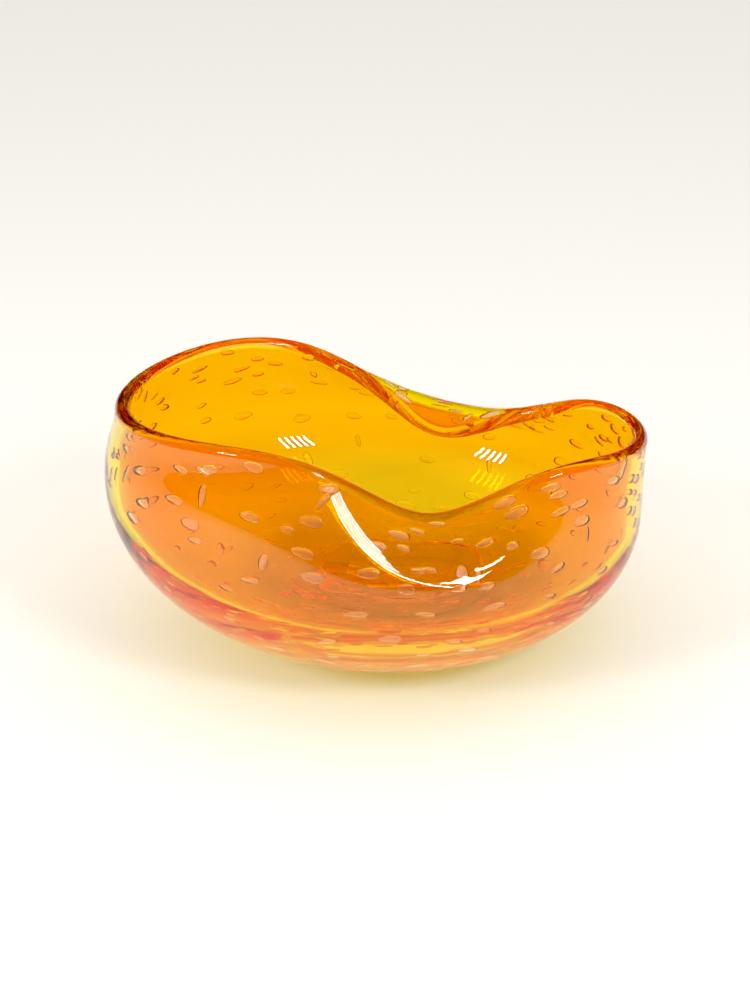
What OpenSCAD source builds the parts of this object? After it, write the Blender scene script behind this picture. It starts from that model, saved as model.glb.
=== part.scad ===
// Free-blown bowl of amber glass cased in clear glass, with a heavy clear base,
// pinched in and down at the front and the back.
// +Z is up, +X points to the smaller lobe, and the origin is the middle of the ground flat it rests on.

/* [Belly] */
// Mean radius of the belly at its widest
belly_radius = 79; // [74:1:84]
// How far the belly sits from the middle of the base, towards the larger lobe
belly_shift = 8.5; // [0:0.5:10]
// How much longer than its mean radius the belly is along X, and shorter along Y
belly_stretch = 5; // [0:0.5:7]
// Height of the belly's widest line
belly_height = 48; // [44:1:50]
// How much higher the widest line runs at the larger lobe
belly_tilt = 5.5; // [0:0.5:7]

/* [Rim] */
// Mean radius of the lip, without the pinches
rim_radius = 75; // [72:1:78]
// How far the lip sits towards the larger lobe
rim_shift = 6; // [2:0.5:8]
// How much longer than its mean radius the lip is along X, and shorter along Y
rim_stretch = 7; // [2:0.5:8]
// Mean height of the lip, without the pinches
rim_height = 76; // [72:1:80]
// How much higher the lip runs at the larger lobe
rim_tilt = 5; // [0:0.5:7]
// How much higher the lip runs at the front
rim_front_rise = 4.5; // [0:0.5:6]
// How much the lip dips at the two ends of the bowl
rim_end_dip = 5; // [0:0.5:7]

/* [Pinches] */
// Direction of the front pinch in plan
front_pinch_angle = -83; // [-95:1:-75]
// Half width of the front pinch, as an angle
front_pinch_width = 26; // [22:1:32]
// How far the front pinch is pushed in
front_pinch_depth = 14; // [8:1:18]
// How far the front pinch is pushed down
front_pinch_drop = 23; // [12:1:25]
// Direction of the back pinch in plan
back_pinch_angle = 74; // [65:1:90]
// Half width of the back pinch, as an angle
back_pinch_width = 35; // [30:1:40]
// How far the back pinch is pushed in
back_pinch_depth = 20; // [12:1:24]
// How far the back pinch is pushed down
back_pinch_drop = 25; // [14:1:28]
// How far the back shoulder stands above the pinched lip
back_shoulder_rise = 6; // [3:1:10]
// How far the front shoulder has slumped below the pinched lip
front_shoulder_slump = 4; // [0:1:8]

/* [Glass] */
// Thickness of the wall at the belly and above
wall = 4.4; // [3.6:0.2:5.4]
// Thickness of the glass in the middle of the base
floor_thickness = 19; // [12:1:20]
// Thickness of the amber gather that lines the wall, under the clear casing
gather_wall = 2; // [1.4:0.2:2.4]
// Thickness of the amber gather in the floor
gather_floor = 1.2; // [0.8:0.2:2]
// Thickness of the fire-polished lip
lip_thickness = 4.8; // [4.6:0.2:6]
// Radius of the ground and polished flat
flat_radius = 26; // [20:1:30]
// Height of the disc of glass that the punty left
disc_height = 3; // [2:0.5:6]

/* [Hidden] */

// Steps round the bowl and rows up each skin
around = 72;
rows = 17;
// Steps over the top of the lip
bead_steps = 8;
// Angle at which the heel leaves the ground flat
heel_angle = 8;
// Depth of the hollow of the inner floor below its edge
floor_dip = 1.2;
// Where the wall begins to swell towards the lip, on the scale from flat (0) to lip (1)
swell_start = 0.8;
// Step for the slopes of the outer skin
slope_step = 0.002;
// The flat's true circle touches the middle of each of the polygon's sides
flat_corner_radius = flat_radius / cos(180 / around);

// How strongly a pinch acts in direction a: 1 at its middle, falling off to each side
function pinch(a, middle, width) =
    let (off = (a - middle + 540) % 360 - 180)
    exp(-pow(off / width, 2));
function front_pinch(a) = pinch(a, front_pinch_angle, front_pinch_width);
function back_pinch(a) = pinch(a, back_pinch_angle, back_pinch_width);
function any_pinch(a) = min(1, front_pinch(a) + back_pinch(a));

function belly_r(a) = belly_radius - belly_shift * cos(a) + belly_stretch * cos(2 * a);
function belly_z(a) = belly_height - belly_tilt * cos(a);
function rim_r(a) =
    rim_radius - rim_shift * cos(a) + rim_stretch * cos(2 * a)
    - front_pinch_depth * front_pinch(a) - back_pinch_depth * back_pinch(a);
function rim_z(a) =
    rim_height - rim_tilt * cos(a) - rim_front_rise * sin(a) - rim_end_dip * cos(2 * a)
    - front_pinch_drop * front_pinch(a) - back_pinch_drop * back_pinch(a);

// Radius and height on the heel, an arc of an ellipse from the ground flat (t = 0) to the belly (t = 1)
function heel_curve(a, t) =
    let (turn = heel_angle + t * (90 - heel_angle))
    [
        flat_corner_radius
            + (belly_r(a) - flat_corner_radius) * (sin(turn) - sin(heel_angle)) / (1 - sin(heel_angle)),
        belly_z(a) * (1 - cos(turn) / cos(heel_angle))
    ];

// Radius and height on the wall, a Bezier curve from the belly (t = 0) to the lip (t = 1)
function wall_curve(a, t) =
    let (
        squeeze = any_pinch(a),
        rise = rim_z(a) - belly_z(a),
        lean = belly_r(a) - rim_r(a),
        belly = [belly_r(a), belly_z(a)],
        above_belly = belly + [0, (0.5 - 0.4 * front_pinch(a)) * rise],
        lip = [rim_r(a), rim_z(a)],
        shoulder = back_shoulder_rise * back_pinch(a) - front_shoulder_slump * front_pinch(a),
        before_lip = lip + [
            (0.25 + 0.37 * squeeze) * lean,
            shoulder - 0.35 * rise * (1 - squeeze)
        ]
    )
    pow(1 - t, 3) * belly + 3 * t * pow(1 - t, 2) * above_belly
    + 3 * t * t * (1 - t) * before_lip + pow(t, 3) * lip;

// Point of the outer skin in direction a, from the flat's edge (v = 0) over the belly (0.5) to the lip (1)
function outer_point(a, v) =
    let (rz = v < 0.5 ? heel_curve(a, 2 * v) : wall_curve(a, 2 * v - 1))
    [rz[0] * cos(a), rz[0] * sin(a), rz[1]];

function unit(p) = p / norm(p);
function round_slope(a, v) = outer_point(a + 180 * slope_step, v) - outer_point(a - 180 * slope_step, v);
function up_slope(a, v) =
    outer_point(a, min(1, v + slope_step)) - outer_point(a, max(0, v - slope_step));
function outward(a, v) = v == 0 ? [0, 0, -1] : unit(cross(round_slope(a, v), up_slope(a, v)));

// The glass thins from the base up to the belly, and swells to both sides under the lip
function base_thickness(v) = wall + (floor_thickness - wall) * pow(max(0, 1 - 2 * v), 2);
function swell(v) = (lip_thickness - wall) * pow(max(0, v - swell_start) / (1 - swell_start), 2);
function thickness(v) = base_thickness(v) + swell(v);
function point_at_depth(a, v, share) =
    outer_point(a, v) + (swell(v) / 2 - share * thickness(v)) * outward(a, v);

// Rings of points round the bowl
function directions() = [for (i = [0 : around - 1]) 360 * i / around];
function skin_ring(v, share) = [for (a = directions()) point_at_depth(a, v, share)];
function flat_ring(r, z) = [for (a = directions()) [r * cos(a), r * sin(a), z]];
function skin(share) = [for (k = [0 : rows]) skin_ring(k / rows, share)];

// The skin between the two gathers, and the hollow that both have in the middle of the floor
function gather(v) = gather_wall + (gather_floor - gather_wall) * pow(max(0, 1 - 2 * v), 2);
function casing_share(v) = 1 - gather(v) / thickness(v);
function middle_skin() = [for (k = [0 : rows]) skin_ring(k / rows, casing_share(k / rows))];
function floor_ring(depth) = flat_ring(flat_radius / 2, floor_thickness - 0.75 * floor_dip - depth);
function floor_middle(depth) = floor_thickness - floor_dip - depth;
function reversed(list) = [for (k = [len(list) - 1 : -1 : 0]) list[k]];

// Triangles between rings number low and high, always split along the same diagonal
function band(low, high, flip) = [
    for (i = [0 : around - 1])
        let (
            j = (i + 1) % around,
            p = [low * around + i, low * around + j, high * around + j, high * around + i]
        )
        each flip ? [[p[0], p[1], p[2]], [p[0], p[2], p[3]]] : [[p[2], p[1], p[0]], [p[3], p[2], p[0]]]
];
function flatten(list) = [for (row = list) each row];
function bands(count) = flatten([for (k = [0 : count - 2]) band(k, k + 1, false)]);

// A ring-shaped solid whose section runs through the rings in order and back to the first
module ring_solid(rings) {
    count = len(rings);
    polyhedron(
        points = flatten(rings),
        faces = concat(bands(count), band(0, count - 1, true)),
        convexity = 6
    );
}

// A solid with a point on the axis below its first ring and above its last
module capped_solid(rings, bottom, top) {
    count = len(rings);
    last = (count - 1) * around;
    bottom_index = count * around;
    polyhedron(
        points = concat(flatten(rings), [[0, 0, bottom], [0, 0, top]]),
        faces = concat(
            bands(count),
            [for (i = [0 : around - 1]) [bottom_index, i, (i + 1) % around]],
            [for (i = [0 : around - 1]) [bottom_index + 1, last + (i + 1) % around, last + i]]
        ),
        convexity = 6
    );
}

// The first gather, of amber glass, which lines the bowl
module inner_gather() {
    color("orange")
        capped_solid(
            concat([floor_ring(gather_floor)], middle_skin(), reversed(skin(1)), [floor_ring(0)]),
            floor_middle(gather_floor),
            floor_middle(0)
        );
}

// The second gather, of clear glass, laid over the first one's spiked skin so that it traps the air
module outer_casing() {
    disc_ring = flat_ring(flat_corner_radius, disc_height);
    color("linen")
        capped_solid(
            concat([disc_ring], skin(0), reversed(middle_skin()), [floor_ring(gather_floor)]),
            disc_height,
            floor_middle(gather_floor)
        );
}

// What is left of the punty's glass in the middle of the base, ground flat and polished
module pontil_disc() {
    color("white")
        cylinder(r = flat_radius, h = disc_height, $fn = 144);
}

// The lip, melted round after the bowl was cut open
module rim_bead() {
    bead_radius = lip_thickness / 2;
    function lip_up(a) = unit(cross(outward(a, 1), round_slope(a, 1)));
    function over_the_lip(turn) = [
        for (a = directions())
            point_at_depth(a, 1, 0.5)
                + bead_radius * (cos(turn) * outward(a, 1) + sin(turn) * lip_up(a))
    ];
    color("sienna")
        ring_solid(
            concat(
                [skin_ring(1, casing_share(1)), skin_ring(1, 0)],
                [for (k = [1 : bead_steps - 1]) over_the_lip(180 * k / bead_steps)],
                [skin_ring(1, 1)]
            )
        );
}

inner_gather();
outer_casing();
pontil_disc();
rim_bead();
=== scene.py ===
"""The looks of a free-blown bowl of amber glass cased in clear glass, with air trapped between."""
import math

import bpy
import numpy as np
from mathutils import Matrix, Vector


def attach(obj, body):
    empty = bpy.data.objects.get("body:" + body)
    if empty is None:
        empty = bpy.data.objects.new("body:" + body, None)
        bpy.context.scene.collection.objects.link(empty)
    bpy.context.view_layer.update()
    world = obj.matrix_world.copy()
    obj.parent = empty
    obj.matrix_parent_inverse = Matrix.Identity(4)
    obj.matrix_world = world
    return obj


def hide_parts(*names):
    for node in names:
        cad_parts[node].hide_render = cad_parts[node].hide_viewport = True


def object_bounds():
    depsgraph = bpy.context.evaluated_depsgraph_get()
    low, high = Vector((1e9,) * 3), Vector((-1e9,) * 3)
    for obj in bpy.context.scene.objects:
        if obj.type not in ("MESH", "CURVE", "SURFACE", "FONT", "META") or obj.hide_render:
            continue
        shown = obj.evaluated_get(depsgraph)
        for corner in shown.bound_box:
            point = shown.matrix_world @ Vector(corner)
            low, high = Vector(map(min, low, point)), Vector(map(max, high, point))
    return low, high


MM = 0.001

# The bowl's form, in millimetres and degrees, as in the part's own source
BELLY_RADIUS, BELLY_SHIFT, BELLY_STRETCH = 79, 8.5, 5
BELLY_HEIGHT, BELLY_TILT = 48, 5.5
RIM_RADIUS, RIM_SHIFT, RIM_STRETCH = 75, 6, 7
RIM_HEIGHT, RIM_TILT, RIM_FRONT_RISE, RIM_END_DIP = 76, 5, 4.5, 5
FRONT_ANGLE, FRONT_WIDTH, FRONT_DEPTH, FRONT_DROP = -83, 26, 14, 23
BACK_ANGLE, BACK_WIDTH, BACK_DEPTH, BACK_DROP = 74, 35, 20, 25
BACK_SHOULDER_RISE, FRONT_SHOULDER_SLUMP = 6, 4
WALL, FLOOR_THICKNESS, LIP_THICKNESS, SWELL_START = 4.4, 19, 4.8, 0.8
FLAT_RADIUS, DISC_HEIGHT, HEEL_ANGLE, FLOOR_DIP = 26, 3, 8, 1.2
GATHER_WALL, GATHER_FLOOR = 2, 1.2

# How finely the glass is meshed
AROUND = 240
ROWS = 108
LIP_STEPS = 16
FLOOR_RINGS = 24

# Hair-width space between two pieces of one fused glass, so that their faces don't coincide
SEAM_GAP = 0.04

# How much light bends at the glass's own skins, and where it is fused to its neighbour
SKIN_IOR, SEAM_IOR = 1.5, 1.0005

# A swirl left in the inner floor: its middle, half length, half width and height
SWIRL_X, SWIRL_Y, SWIRL_LENGTH, SWIRL_WIDTH, SWIRL_HEIGHT = -17, -12, 25, 17, 1.6
SWIRL_TURNS = 2.4

# The ripple dies out over this height below a level above which there is none
SWIRL_TOP, SWIRL_FADE = 40, 10

# The bubbles: how far up the skin each row lies, their spacing, and the glass between them and the amber
BUBBLE_ROWS = (0.05, 0.12, 0.19, 0.27, 0.36, 0.45, 0.54, 0.63, 0.72, 0.80, 0.88, 0.95)
BASE_TOP, BASE_SPACING, WALL_SPACING = 0.25, 14, 21
BUBBLE_COVER = 0.25
BUBBLE_SEGMENTS, BUBBLE_RINGS = 14, 8

# One end of a bubble is this much fuller than its middle, and the other as much slimmer
BUBBLE_FULLNESS = 0.18

# One bubble in ten stands nearly upright
STRAY_SHARE, STRAY_TILT = 0.1, 75

# The surroundings: the table and the tent
TABLE_COLOUR = (0.86, 0.85, 0.81, 1)
TENT_COLOUR = (1.0, 0.99, 0.96, 1)
TENT_STRENGTH = 1.04

# How bright the tent's front is through the glass, and how much brighter the light is that
# reaches the table through the bowl
DARKEST, GLOW = 0.25, 1.6

# How often a ray may bounce: it is mirrored many times inside thick glass before it comes out
BOUNCES = 64


# ---------------------------------------------------------------- form of the bowl

def pinch(angle, middle, width):
    """How strongly a pinch acts in a direction: 1 at its middle, falling off to each side."""
    off = (angle - middle + 540) % 360 - 180
    return np.exp(-((off / width) ** 2))


def outer_point(angle, v):
    """Points of the outer skin, from the flat's edge (v = 0) over the belly (0.5) to the lip (1)."""
    turn = np.radians(angle)
    front = pinch(angle, FRONT_ANGLE, FRONT_WIDTH)
    back = pinch(angle, BACK_ANGLE, BACK_WIDTH)
    squeeze = np.minimum(1, front + back)
    belly_r = BELLY_RADIUS - BELLY_SHIFT * np.cos(turn) + BELLY_STRETCH * np.cos(2 * turn)
    belly_z = BELLY_HEIGHT - BELLY_TILT * np.cos(turn)
    rim_r = RIM_RADIUS - RIM_SHIFT * np.cos(turn) + RIM_STRETCH * np.cos(2 * turn)
    rim_r = rim_r - FRONT_DEPTH * front - BACK_DEPTH * back
    rim_z = RIM_HEIGHT - RIM_TILT * np.cos(turn) - RIM_FRONT_RISE * np.sin(turn)
    rim_z = rim_z - RIM_END_DIP * np.cos(2 * turn) - FRONT_DROP * front - BACK_DROP * back

    start = math.radians(HEEL_ANGLE)
    heel = start + np.clip(2 * v, 0, 1) * (math.pi / 2 - start)
    share = (np.sin(heel) - math.sin(start)) / (1 - math.sin(start))
    heel_r = FLAT_RADIUS + (belly_r - FLAT_RADIUS) * share
    heel_z = belly_z * (1 - np.cos(heel) / math.cos(start))

    t = np.clip(2 * v - 1, 0, 1)
    rise, lean = rim_z - belly_z, belly_r - rim_r
    shoulder = BACK_SHOULDER_RISE * back - FRONT_SHOULDER_SLUMP * front
    before_r = rim_r + (0.25 + 0.37 * squeeze) * lean
    before_z = rim_z + shoulder - 0.35 * rise * (1 - squeeze)
    above_z = belly_z + (0.5 - 0.4 * front) * rise
    weights = ((1 - t) ** 3, 3 * t * (1 - t) ** 2, 3 * t * t * (1 - t), t ** 3)
    wall_r = sum(w * r for w, r in zip(weights, (belly_r, belly_r, before_r, rim_r)))
    wall_z = sum(w * z for w, z in zip(weights, (belly_z, above_z, before_z, rim_z)))

    radius = np.where(v < 0.5, heel_r, wall_r)
    height = np.where(v < 0.5, heel_z, wall_z)
    return np.stack([radius * np.cos(turn), radius * np.sin(turn), height + 0 * turn], axis=-1)


def unit(vectors):
    """Vectors of length 1 in the same directions."""
    return vectors / np.linalg.norm(vectors, axis=-1, keepdims=True)


def skin_axes(angle, v):
    """Directions on the outer skin: round the bowl, up the wall, and outward."""
    step = 0.002
    around = unit(outer_point(angle + 180 * step, v) - outer_point(angle - 180 * step, v))
    up = outer_point(angle, np.minimum(1, v + step)) - outer_point(angle, np.maximum(0, v - step))
    outward = unit(np.cross(around, up))
    outward = np.where((v == 0)[..., None], np.array([0.0, 0.0, -1.0]), outward)
    return around, unit(np.cross(outward, around)), outward


def swell(v):
    """How much the wall swells under the lip."""
    return (LIP_THICKNESS - WALL) * (np.maximum(0, v - SWELL_START) / (1 - SWELL_START)) ** 2


def thickness(v):
    """The glass thins from the base up to the belly, and swells under the lip."""
    return WALL + (FLOOR_THICKNESS - WALL) * np.maximum(0, 1 - 2 * v) ** 2 + swell(v)


def point_at_depth(angle, v, share):
    """Points inside the glass, from the outer skin (share = 0) to the inner one (1)."""
    angle, v = np.broadcast_arrays(np.asarray(angle, float), np.asarray(v, float))
    outward = skin_axes(angle, v)[2]
    depth = share * thickness(v) - swell(v) / 2
    return outer_point(angle, v) - depth[..., None] * outward


def directions():
    """The directions round the bowl at which it is meshed."""
    return np.arange(AROUND) * 360 / AROUND


def skin(share, rows):
    """Rings of points on a skin, from the flat's edge to the lip."""
    return [point_at_depth(directions(), v, share) for v in rows]


def gather(v):
    """Thickness of the amber gather, which thins towards the floor."""
    return GATHER_WALL + (GATHER_FLOOR - GATHER_WALL) * np.maximum(0, 1 - 2 * v) ** 2


def casing_share(v, gap=0.0):
    """Share of the thickness that lies under the amber gather and a gap next to it."""
    return 1 - (gather(v) + gap) / thickness(v)


def flat_ring(radius, height):
    """A level ring of points."""
    turn = np.radians(directions())
    return np.stack([radius * np.cos(turn), radius * np.sin(turn), height + 0 * turn], axis=-1)


def swirl(points):
    """The inner floor with its swirl: a low spiral ripple, dying out towards its edge."""
    x = (points[..., 0] - SWIRL_X) / SWIRL_LENGTH
    y = (points[..., 1] - SWIRL_Y) / SWIRL_WIDTH
    reach = np.clip(np.hypot(x, y), 0, 1)
    level = np.clip((SWIRL_TOP - points[..., 2]) / SWIRL_FADE, 0, 1)
    wave = (1 + np.cos(2 * math.pi * SWIRL_TURNS * reach - np.arctan2(y, x))) / 2
    fade = np.minimum(1, 5 * reach) * (1 - reach ** 3) * level
    height = SWIRL_HEIGHT * wave * fade
    return points + height[..., None] * np.array([0.0, 0.0, 1.0])


# ---------------------------------------------------------------- meshes

class Shell:
    """Vertices and faces of one piece, gathered ring by ring, and how light bends at each face."""

    def __init__(self):
        self.points, self.faces, self.bends = [], [], []

    def add_points(self, points):
        """Adds points and returns the number of the first."""
        first = sum(len(block) for block in self.points)
        self.points.append(np.asarray(points, float).reshape(-1, 3))
        return first

    def bridge(self, low, high, count, bend):
        """Quads between two rings of points, seen from outside when high is above low."""
        for i in range(count):
            j = (i + 1) % count
            self.faces.append((low + i, low + j, high + j, high + i))
            self.bends.append(bend)

    def fan(self, ring, tip, count, bend, flip=False):
        """Triangles from a ring to one point, seen from above unless flipped."""
        for i in range(count):
            j = (i + 1) % count
            self.faces.append((ring + j, ring + i, tip) if flip else (ring + i, ring + j, tip))
            self.bends.append(bend)

    def build(self, name, material):
        """The finished piece, smooth but for the edges where a skin ends at a seam."""
        mesh = bpy.data.meshes.new(name)
        mesh.from_pydata((np.concatenate(self.points) * MM).tolist(), [], self.faces)
        mesh.materials.append(material)
        bend = mesh.attributes.new("light_bend", "FLOAT", "FACE")
        bend.data.foreach_set("value", self.bends)
        mesh.shade_smooth()
        sharpen_seam_edges(mesh, self.bends)
        piece = bpy.data.objects.new(name, mesh)
        bpy.context.scene.collection.objects.link(piece)
        return piece


def sharpen_seam_edges(mesh, bends):
    """Marks as sharp each edge between a skin and a seam."""
    seen = {}
    for face, bend in zip(mesh.polygons, bends):
        for key in face.edge_keys:
            seen.setdefault(key, set()).add(bend)
    for edge in mesh.edges:
        edge.use_edge_sharp = len(seen.get(edge.key, ())) > 1


def add_bubble(shell, centre, along, across, out, size):
    """A void: a closed egg-shaped shell whose faces look inward, into the air."""
    length, width, depth = size
    turn = np.arange(BUBBLE_SEGMENTS) * 2 * math.pi / BUBBLE_SEGMENTS
    previous = None
    for k in range(1, BUBBLE_RINGS):
        lean = math.pi * k / BUBBLE_RINGS
        x = -math.cos(lean)
        girth = math.sin(lean) * (1 + BUBBLE_FULLNESS * x)
        ring = (centre + 0.5 * length * x * along
                + 0.5 * width * girth * np.cos(turn)[:, None] * across
                + 0.5 * depth * girth * np.sin(turn)[:, None] * out)
        first = shell.add_points(ring)
        if previous is None:
            tail = shell.add_points(centre - 0.5 * length * along)
            shell.fan(first, tail, BUBBLE_SEGMENTS, SKIN_IOR)
        else:
            shell.bridge(first, previous, BUBBLE_SEGMENTS, SKIN_IOR)
        previous = first
    head = shell.add_points(centre + 0.5 * length * along)
    shell.fan(previous, head, BUBBLE_SEGMENTS, SKIN_IOR, flip=True)


def bubble_rows():
    """Places of the air bubbles: loose rows that the spiked mould left, drawn out by the blowing."""
    chance = np.random.default_rng(11)
    places = []
    for k, v in enumerate(BUBBLE_ROWS):
        ring = outer_point(directions(), np.full(AROUND, v))
        girth = np.linalg.norm(np.roll(ring, -1, axis=0) - ring, axis=1).sum()
        count = int(girth / (BASE_SPACING if v < BASE_TOP else WALL_SPACING))
        for i in range(count):
            angle = 360 * (i + 0.5 * (k % 2)) / count + chance.normal(0, 90 / count)
            height = v + chance.normal(0, 0.014)
            length = chance.uniform(4.2, 7.6)
            width = length * chance.uniform(0.32, 0.55)
            depth = chance.uniform(0.5, 0.8)
            tilt = chance.normal(0, 9) + (STRAY_TILT if chance.random() < STRAY_SHARE else 0)
            places.append((angle, min(height, 0.97), length, width, depth, tilt))
    return places


def add_floor(shell, edge, depth, bend, upward):
    """The round middle of a floor surface, below the bowl's inner floor by a depth."""
    previous = edge
    for k in range(FLOOR_RINGS - 1, 0, -1):
        share = k / FLOOR_RINGS
        height = FLOOR_THICKNESS - FLOOR_DIP * (1 - share ** 2) - depth
        ring = flat_ring(FLAT_RADIUS * share, height)
        ring = shell.add_points(swirl(ring) if bend == SKIN_IOR else ring)
        low, high = (previous, ring) if upward else (ring, previous)
        shell.bridge(low, high, AROUND, bend)
        previous = ring
    middle = np.array([0, 0, FLOOR_THICKNESS - FLOOR_DIP - depth])
    middle = shell.add_points(swirl(middle) if bend == SKIN_IOR else middle)
    shell.fan(previous, middle, AROUND, bend, flip=not upward)


def make_gather(material):
    """The amber gather that lines the bowl, an even thin cup."""
    shell = Shell()
    rows = np.linspace(0, 1, ROWS + 1)
    below = [shell.add_points(point_at_depth(directions(), v, casing_share(v))) for v in rows]
    inner = [shell.add_points(swirl(ring)) for ring in skin(1, rows)]
    for low, high in zip(below, below[1:]):
        shell.bridge(low, high, AROUND, SEAM_IOR)
    shell.bridge(below[-1], inner[-1], AROUND, SEAM_IOR)
    for high, low in zip(inner[::-1], inner[-2::-1]):
        shell.bridge(high, low, AROUND, SKIN_IOR)
    add_floor(shell, inner[0], 0, SKIN_IOR, True)
    add_floor(shell, below[0], GATHER_FLOOR, SEAM_IOR, False)
    return shell.build("inner_gather_glass", material)


def make_casing(material):
    """The clear casing, thick in the base, with the air that it trapped on the amber."""
    shell = Shell()
    rows = np.linspace(0, 1, ROWS + 1)
    outer = [shell.add_points(ring) for ring in skin(0, rows)]
    inner = [shell.add_points(point_at_depth(directions(), v, casing_share(v, SEAM_GAP))) for v in rows]
    for low, high in zip(outer, outer[1:]):
        shell.bridge(low, high, AROUND, SKIN_IOR)
    shell.bridge(outer[-1], inner[-1], AROUND, SEAM_IOR)
    for high, low in zip(inner[::-1], inner[-2::-1]):
        shell.bridge(high, low, AROUND, SEAM_IOR)
    add_floor(shell, inner[0], GATHER_FLOOR + SEAM_GAP, SEAM_IOR, True)

    roof = shell.add_points(flat_ring(FLAT_RADIUS, DISC_HEIGHT))
    shell.bridge(roof, outer[0], AROUND, SEAM_IOR)
    roof_middle = shell.add_points([0, 0, DISC_HEIGHT])
    shell.fan(roof, roof_middle, AROUND, SEAM_IOR, flip=True)

    for angle, v, length, width, depth, tilt in bubble_rows():
        angle, v = np.array([angle]), np.array([v])
        around, up, outward = (axis[0] for axis in skin_axes(angle, v))
        lean = math.radians(tilt)
        along = math.cos(lean) * around + math.sin(lean) * up
        across = math.cos(lean) * up - math.sin(lean) * around
        centre = point_at_depth(angle, v, casing_share(v, BUBBLE_COVER + 0.5 * depth))[0]
        add_bubble(shell, centre, along, across, outward, (length, width, depth))
    return shell.build("outer_casing_glass", material)


def make_lip(material):
    """The fire-polished lip, half round over the top of the wall."""
    shell = Shell()
    angle = directions()
    v = np.ones(AROUND)
    _, up, outward = skin_axes(angle, v)
    middle = point_at_depth(angle, v, 0.5) + SEAM_GAP * up
    radius = LIP_THICKNESS / 2
    rings = []
    for k in range(LIP_STEPS + 1):
        turn = math.pi * k / LIP_STEPS
        ring = middle + radius * (math.cos(turn) * outward + math.sin(turn) * up)
        rings.append(shell.add_points(ring))
    for low, high in zip(rings, rings[1:]):
        shell.bridge(low, high, AROUND, SKIN_IOR)
    shell.bridge(rings[-1], rings[0], AROUND, SEAM_IOR)
    return shell.build("rim_bead", material)


def make_disc(material):
    """The ground and polished disc in the middle of the underside, a shallow dish."""
    shell = Shell()
    radius = FLAT_RADIUS - SEAM_GAP
    dish_radius, dish_depth, steps = 21.5, 0.7, 20
    low = shell.add_points(flat_ring(radius, 0))
    high = shell.add_points(flat_ring(radius, DISC_HEIGHT - SEAM_GAP))
    top = shell.add_points([0, 0, DISC_HEIGHT - SEAM_GAP])
    shell.bridge(low, high, AROUND, SEAM_IOR)
    shell.fan(high, top, AROUND, SEAM_IOR)
    previous = low
    for k in range(steps, 0, -1):
        share = k / steps
        ring = shell.add_points(flat_ring(dish_radius * share, dish_depth * (1 - share ** 2)))
        shell.bridge(ring, previous, AROUND, SKIN_IOR)
        previous = ring
    middle = shell.add_points([0, 0, dish_depth])
    shell.fan(previous, middle, AROUND, SKIN_IOR, flip=True)
    return shell.build("pontil_disc", material)


# ---------------------------------------------------------------- materials

CLEAR = (1, 1, 1, 1)
GATHER_TINT = (1, 0.3, 0.01, 1)
LIP_TINT = (1, 0.5, 0.03, 1)

# What a metre of the amber glass loses is its density times one less this colour
AMBER = (0.9985, 0.98, 0, 1)
GATHER_DENSITY = 2500
LIP_DENSITY = 600

# The amber pales from this height down to the floor, where this share of its tint is left
PALE_BELOW, FULL_ABOVE, FLOOR_SHARE = 0.016, 0.034, 0.45


def new_material(name):
    """An empty node material with its output node."""
    material = bpy.data.materials.new(name)
    material.use_nodes = True
    material.node_tree.nodes.clear()
    output = material.node_tree.nodes.new("ShaderNodeOutputMaterial")
    return material, material.node_tree, output


def join(tree, operation, first, second):
    """A sum worked out by a node from two values, each a number or another node's output."""
    node = tree.nodes.new("ShaderNodeMath")
    node.operation = operation
    for value, socket in zip((first, second), node.inputs):
        if isinstance(value, (int, float)):
            socket.default_value = value
        else:
            tree.links.new(value, socket)
    return node.outputs[0]


def span(tree, value, taken, given):
    """A value carried from one span to another, and held at its ends."""
    node = tree.nodes.new("ShaderNodeMapRange")
    node.inputs["From Min"].default_value, node.inputs["From Max"].default_value = taken
    node.inputs["To Min"].default_value, node.inputs["To Max"].default_value = given
    tree.links.new(value, node.inputs["Value"])
    return node.outputs["Result"]


def bump(tree, scale, stretch, distance):
    """A bump from stretched noise, fixed to the piece."""
    place = tree.nodes.new("ShaderNodeTexCoord")
    mapping = tree.nodes.new("ShaderNodeMapping")
    mapping.inputs["Scale"].default_value = stretch
    noise = tree.nodes.new("ShaderNodeTexNoise")
    noise.inputs["Scale"].default_value = scale
    noise.inputs["Detail"].default_value = 1.5
    node = tree.nodes.new("ShaderNodeBump")
    node.inputs["Strength"].default_value = 1.0
    node.inputs["Distance"].default_value = distance
    tree.links.new(place.outputs["Object"], mapping.inputs["Vector"])
    tree.links.new(mapping.outputs["Vector"], noise.inputs["Vector"])
    tree.links.new(noise.outputs["Fac"], node.inputs["Height"])
    return node.outputs["Normal"]


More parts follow.
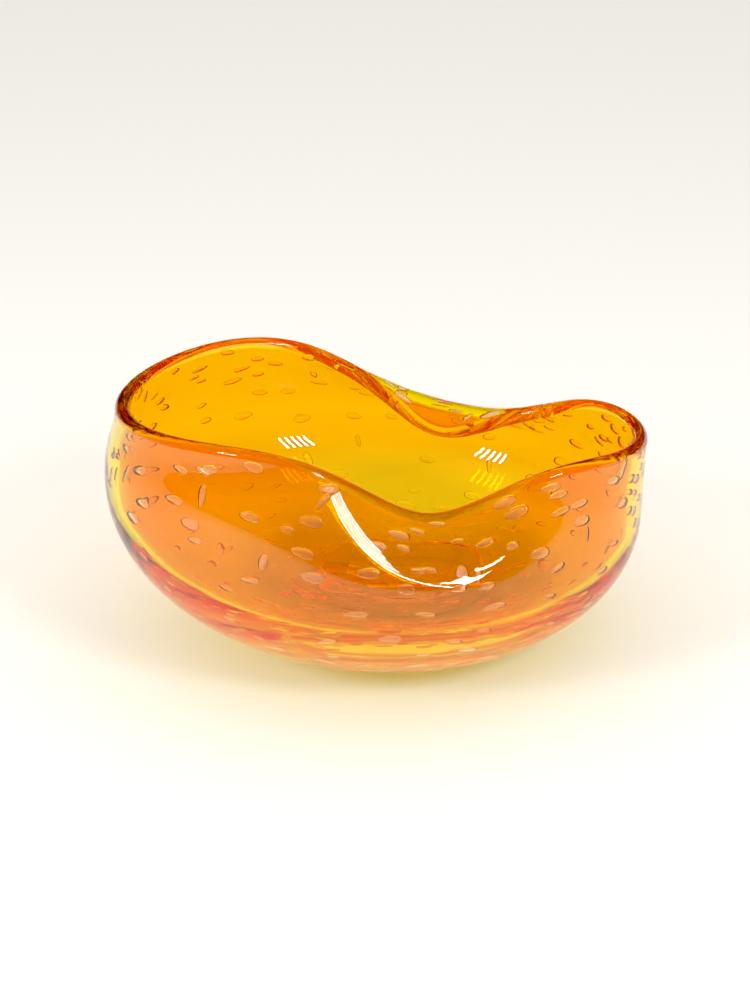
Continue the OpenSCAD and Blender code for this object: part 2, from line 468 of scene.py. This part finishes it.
def glass(name, wave_scale, wave_stretch, wave_height, tint=CLEAR, density=0):
    """Glass with slow waves on its skin. Its colour is in its depth and in a tint at its skin.

    A face's own light_bend says whether it is a skin, or a seam that is fused to the next piece.
    """
    material, tree, output = new_material(name)
    shader = tree.nodes.new("ShaderNodeBsdfPrincipled")
    shader.inputs["Base Color"].default_value = CLEAR
    shader.inputs["Roughness"].default_value = 0.0
    shader.inputs["IOR"].default_value = SKIN_IOR
    shader.inputs["Transmission Weight"].default_value = 1
    bend = tree.nodes.new("ShaderNodeAttribute")
    bend.attribute_name = "light_bend"
    tree.links.new(bend.outputs["Fac"], shader.inputs["IOR"])
    tree.links.new(bump(tree, wave_scale, wave_stretch, wave_height), shader.inputs["Normal"])
    tree.links.new(shader.outputs["BSDF"], output.inputs["Surface"])
    if density:
        depth = tree.nodes.new("ShaderNodeVolumeAbsorption")
        depth.inputs["Color"].default_value = AMBER
        depth.inputs["Density"].default_value = density
        tree.links.new(depth.outputs["Volume"], output.inputs["Volume"])
        at_skin = span(tree, bend.outputs["Fac"], (SEAM_IOR, SKIN_IOR), (0, 1))
        place = tree.nodes.new("ShaderNodeTexCoord")
        axes = tree.nodes.new("ShaderNodeSeparateXYZ")
        tree.links.new(place.outputs["Object"], axes.inputs["Vector"])
        paled = span(tree, axes.outputs["Z"], (PALE_BELOW, FULL_ABOVE), (FLOOR_SHARE, 1))
        at_skin = join(tree, "MULTIPLY", at_skin, paled)
        colour = tree.nodes.new("ShaderNodeMix")
        colour.data_type = "RGBA"
        colour.inputs[6].default_value = CLEAR
        colour.inputs[7].default_value = tint
        tree.links.new(at_skin, colour.inputs["Factor"])
        tree.links.new(colour.outputs[2], shader.inputs["Base Color"])
    return material


def paper():
    """The plain pale table top."""
    material, tree, output = new_material("table_top")
    shader = tree.nodes.new("ShaderNodeBsdfPrincipled")
    shader.inputs["Base Color"].default_value = TABLE_COLOUR
    shader.inputs["Roughness"].default_value = 0.6
    shader.inputs["Specular IOR Level"].default_value = 0.2
    tree.links.new(shader.outputs["BSDF"], output.inputs["Surface"])
    return material


# ---------------------------------------------------------------- surroundings

def make_floor():
    """A wide plain table top, a hair below the bowl's flat."""
    half, height = 4.0, -0.0002
    mesh = bpy.data.meshes.new("table_top")
    corners = [(-half, -half, height), (half, -half, height), (half, half, height), (-half, half, height)]
    mesh.from_pydata(corners, [], [(0, 1, 2, 3)])
    mesh.materials.append(paper())
    floor = bpy.data.objects.new("table_top", mesh)
    bpy.context.scene.collection.objects.link(floor)


def mirrored_ray(tree):
    """1 where a ray comes straight from a mirroring skin, and 0 where it comes through the glass."""
    path = tree.nodes.new("ShaderNodeLightPath")
    return join(tree, "SUBTRACT", path.outputs["Is Glossy Ray"], path.outputs["Is Transmission Ray"])


def make_tent():
    """A white tent. The bowl's skin mirrors none of it, and through the glass its front is darker."""
    world = bpy.data.worlds.new("tent")
    world.use_nodes = True
    tree = world.node_tree
    sky = tree.nodes["Background"]
    sky.inputs["Color"].default_value = TENT_COLOUR
    place = tree.nodes.new("ShaderNodeTexCoord")
    axes = tree.nodes.new("ShaderNodeSeparateXYZ")
    tree.links.new(place.outputs["Generated"], axes.inputs["Vector"])

    path = tree.nodes.new("ShaderNodeLightPath")
    behind = span(tree, axes.outputs["Y"], (-0.95, -0.5), (DARKEST, 1))
    overhead = span(tree, axes.outputs["Z"], (0.5, 0.85), (DARKEST, 1))
    bent = join(tree, "MAXIMUM", behind, overhead)
    shade = join(tree, "MULTIPLY", bent, join(tree, "SUBTRACT", 1, mirrored_ray(tree)))

    from_floor = join(tree, "GREATER_THAN", path.outputs["Diffuse Depth"], 0.5)
    from_glass = join(tree, "SUBTRACT", path.outputs["Is Glossy Ray"], from_floor)
    choose = tree.nodes.new("ShaderNodeMix")
    glow = span(tree, path.outputs["Is Transmission Ray"], (0, 1), (1, GLOW))
    tree.links.new(glow, choose.inputs["A"])
    tree.links.new(from_glass, choose.inputs["Factor"])
    tree.links.new(shade, choose.inputs["B"])
    tree.links.new(join(tree, "MULTIPLY", choose.outputs["Result"], TENT_STRENGTH), sky.inputs["Strength"])
    bpy.context.scene.world = world


def make_lamp(name, azimuth, elevation, radiance):
    """A panel of upright bright tubes, turned to face the bowl."""
    tubes, spacing, length, width, distance = 5, 0.044, 0.22, 0.016, 0.9
    turn, lift = math.radians(azimuth), math.radians(elevation)
    toward = Vector((math.cos(lift) * math.cos(turn), math.cos(lift) * math.sin(turn), math.sin(lift)))
    facing = toward.to_track_quat("Z", "Y")
    side = facing @ Vector((1, 0, 0))
    for k in range(tubes):
        lamp = bpy.data.lights.new("%s_tube_%d" % (name, k), "AREA")
        lamp.shape = "RECTANGLE"
        lamp.size = width
        lamp.size_y = length
        lamp.energy = radiance * math.pi * width * length
        holder = bpy.data.objects.new(lamp.name, lamp)
        holder.location = distance * toward + (k - (tubes - 1) / 2) * spacing * side
        holder.rotation_mode = "QUATERNION"
        holder.rotation_quaternion = facing
        holder.visible_camera = False
        bpy.context.scene.collection.objects.link(holder)


def make_camera(box):
    """Looking down on the front of the bowl from a little above."""
    elevation, distance = math.radians(24.6), 0.6
    low, high = box
    aim = [(a + b) / 2 for a, b in zip(low, high)]
    data = bpy.data.cameras.new("camera")
    data.sensor_width = 36
    data.lens = 68.3
    camera = bpy.data.objects.new("camera", data)
    camera.location = (
        aim[0],
        aim[1] - distance * math.cos(elevation),
        aim[2] + distance * math.sin(elevation),
    )
    camera.rotation_euler = (math.pi / 2 - elevation, 0, 0)
    bpy.context.scene.collection.objects.link(camera)
    bpy.context.scene.camera = camera


# ---------------------------------------------------------------- the scene

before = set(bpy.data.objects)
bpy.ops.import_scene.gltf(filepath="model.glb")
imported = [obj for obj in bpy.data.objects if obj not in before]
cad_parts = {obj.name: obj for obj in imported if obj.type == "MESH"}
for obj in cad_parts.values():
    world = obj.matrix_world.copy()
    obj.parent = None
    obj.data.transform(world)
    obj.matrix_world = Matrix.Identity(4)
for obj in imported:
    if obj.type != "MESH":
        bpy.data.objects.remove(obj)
cad_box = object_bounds()

lining = make_gather(glass("amber_glass", 26, (1, 1, 2.2), 0.0003, GATHER_TINT, GATHER_DENSITY))
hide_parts("inner_gather")

casing = make_casing(glass("clear_glass", 26, (1, 1, 2.2), 0.0003))
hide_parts("outer_casing")

lip = make_lip(glass("fire_polished_glass", 30, (1, 1, 1), 0.0003, LIP_TINT, LIP_DENSITY))
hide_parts("rim_bead")

disc = make_disc(glass("polished_base_glass", 60, (1, 1, 1), 0.0001))
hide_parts("pontil_disc")

for piece in (lining, casing, lip, disc):
    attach(piece, "root")

make_floor()
make_tent()
make_lamp("right", -51, 37, 45)
make_lamp("left", -143, 30, 45)
make_camera(cad_box)
bpy.context.scene.view_settings.view_transform = "Standard"
bpy.context.scene.cycles.max_bounces = BOUNCES
bpy.context.scene.cycles.glossy_bounces = BOUNCES
bpy.context.scene.cycles.transmission_bounces = BOUNCES
